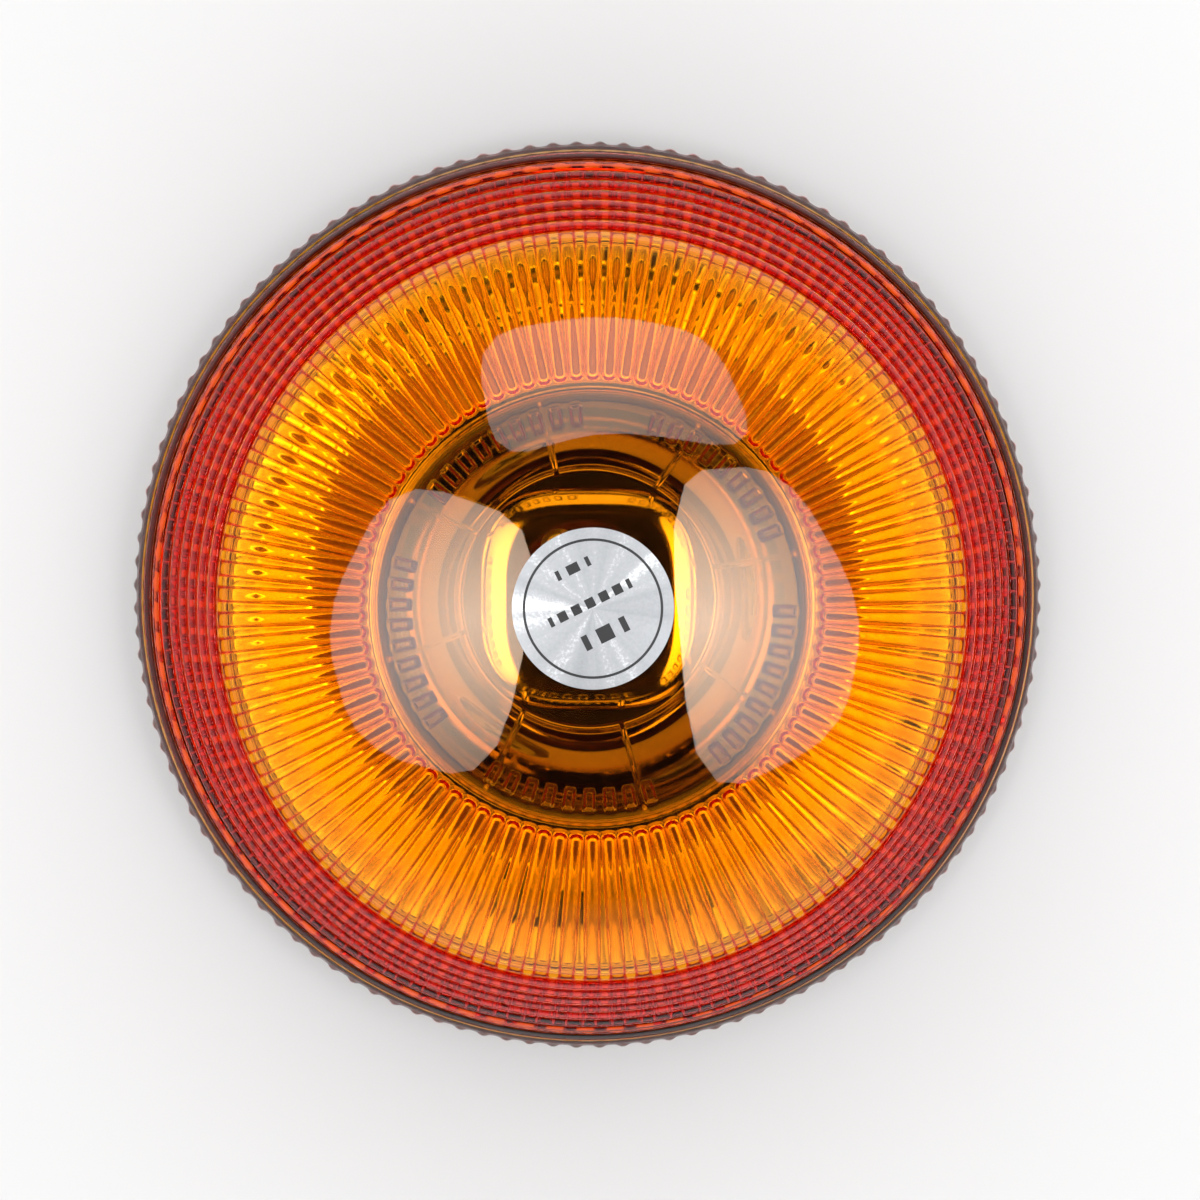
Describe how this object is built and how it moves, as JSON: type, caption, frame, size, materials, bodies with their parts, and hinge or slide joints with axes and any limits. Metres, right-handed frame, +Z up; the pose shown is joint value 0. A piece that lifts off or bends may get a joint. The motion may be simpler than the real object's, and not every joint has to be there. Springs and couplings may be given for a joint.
{
  "type": "warning beacon",
  "caption": "Low amber LED warning beacon: a fluted twist-off dome on a knurled black base, with a horn reflector inside and a bolt-down foot.",
  "frame": {"origin": "centre of the gasket's underside, on the surface the beacon is bolted to", "axes": "+Z up along the dome's axis of rotation; +X and +Y in the mounting plane, +Y through one fixing bolt"},
  "size_m": [0.14, 0.14, 0.068],
  "materials": {
    "black_abs": "fine moulded texture",
    "rubber": "matt",
    "silicone_rubber": "matt",
    "zinc_steel": "zinc plated",
    "screw_steel": "zinc plated",
    "grey_plastic": "satin",
    "amber_polycarbonate": "polished, with clear flutes",
    "silver_foil": "satin foil with a printed ring",
    "cast_aluminium": "machined",
    "white_solder_mask": "satin",
    "led_body": "satin",
    "led_silicone": "clear",
    "plated_reflector": "vacuum-plated, mirror gloss",
    "green_board": "satin",
    "brass": "machined",
    "capacitor_sleeve": "satin",
    "ferrite": "matt",
    "chip_epoxy": "matt",
    "terminal_plastic": "satin"
  },
  "bodies": {
    "base": {"base_shell": "black_abs", "mounting_gasket": "rubber", "bolt_sleeves": "zinc_steel", "cable_grommet": "rubber", "vent_plug": "grey_plastic", "lens_seal": "silicone_rubber", "heat_sink": "cast_aluminium", "heat_sink_screws": "screw_steel", "led_board": "white_solder_mask", "led_packages": "led_body", "led_domes": "led_silicone", "reflector_tray": "plated_reflector", "led_board_screws": "screw_steel", "horn_reflector": "plated_reflector", "horn_screws": "screw_steel", "driver_board": "green_board", "board_inserts": "brass", "board_screws": "screw_steel", "filter_capacitors": "capacitor_sleeve", "storage_inductor": "ferrite", "driver_chips": "chip_epoxy", "power_diodes": "chip_epoxy", "input_terminal": "terminal_plastic", "terminal_screws": "zinc_steel", "board_link": "chip_epoxy"},
    "lens": {"dome_lens": "amber_polycarbonate", "label_disc": "silver_foil"}
  },
  "joints": [
    {"name": "dome_twist", "type": "hinge", "parent": "base", "child": "lens", "pos_m": [0, 0, 0.015], "axis": [0, 0, 1], "range_deg": [0, 20]}
  ]
}
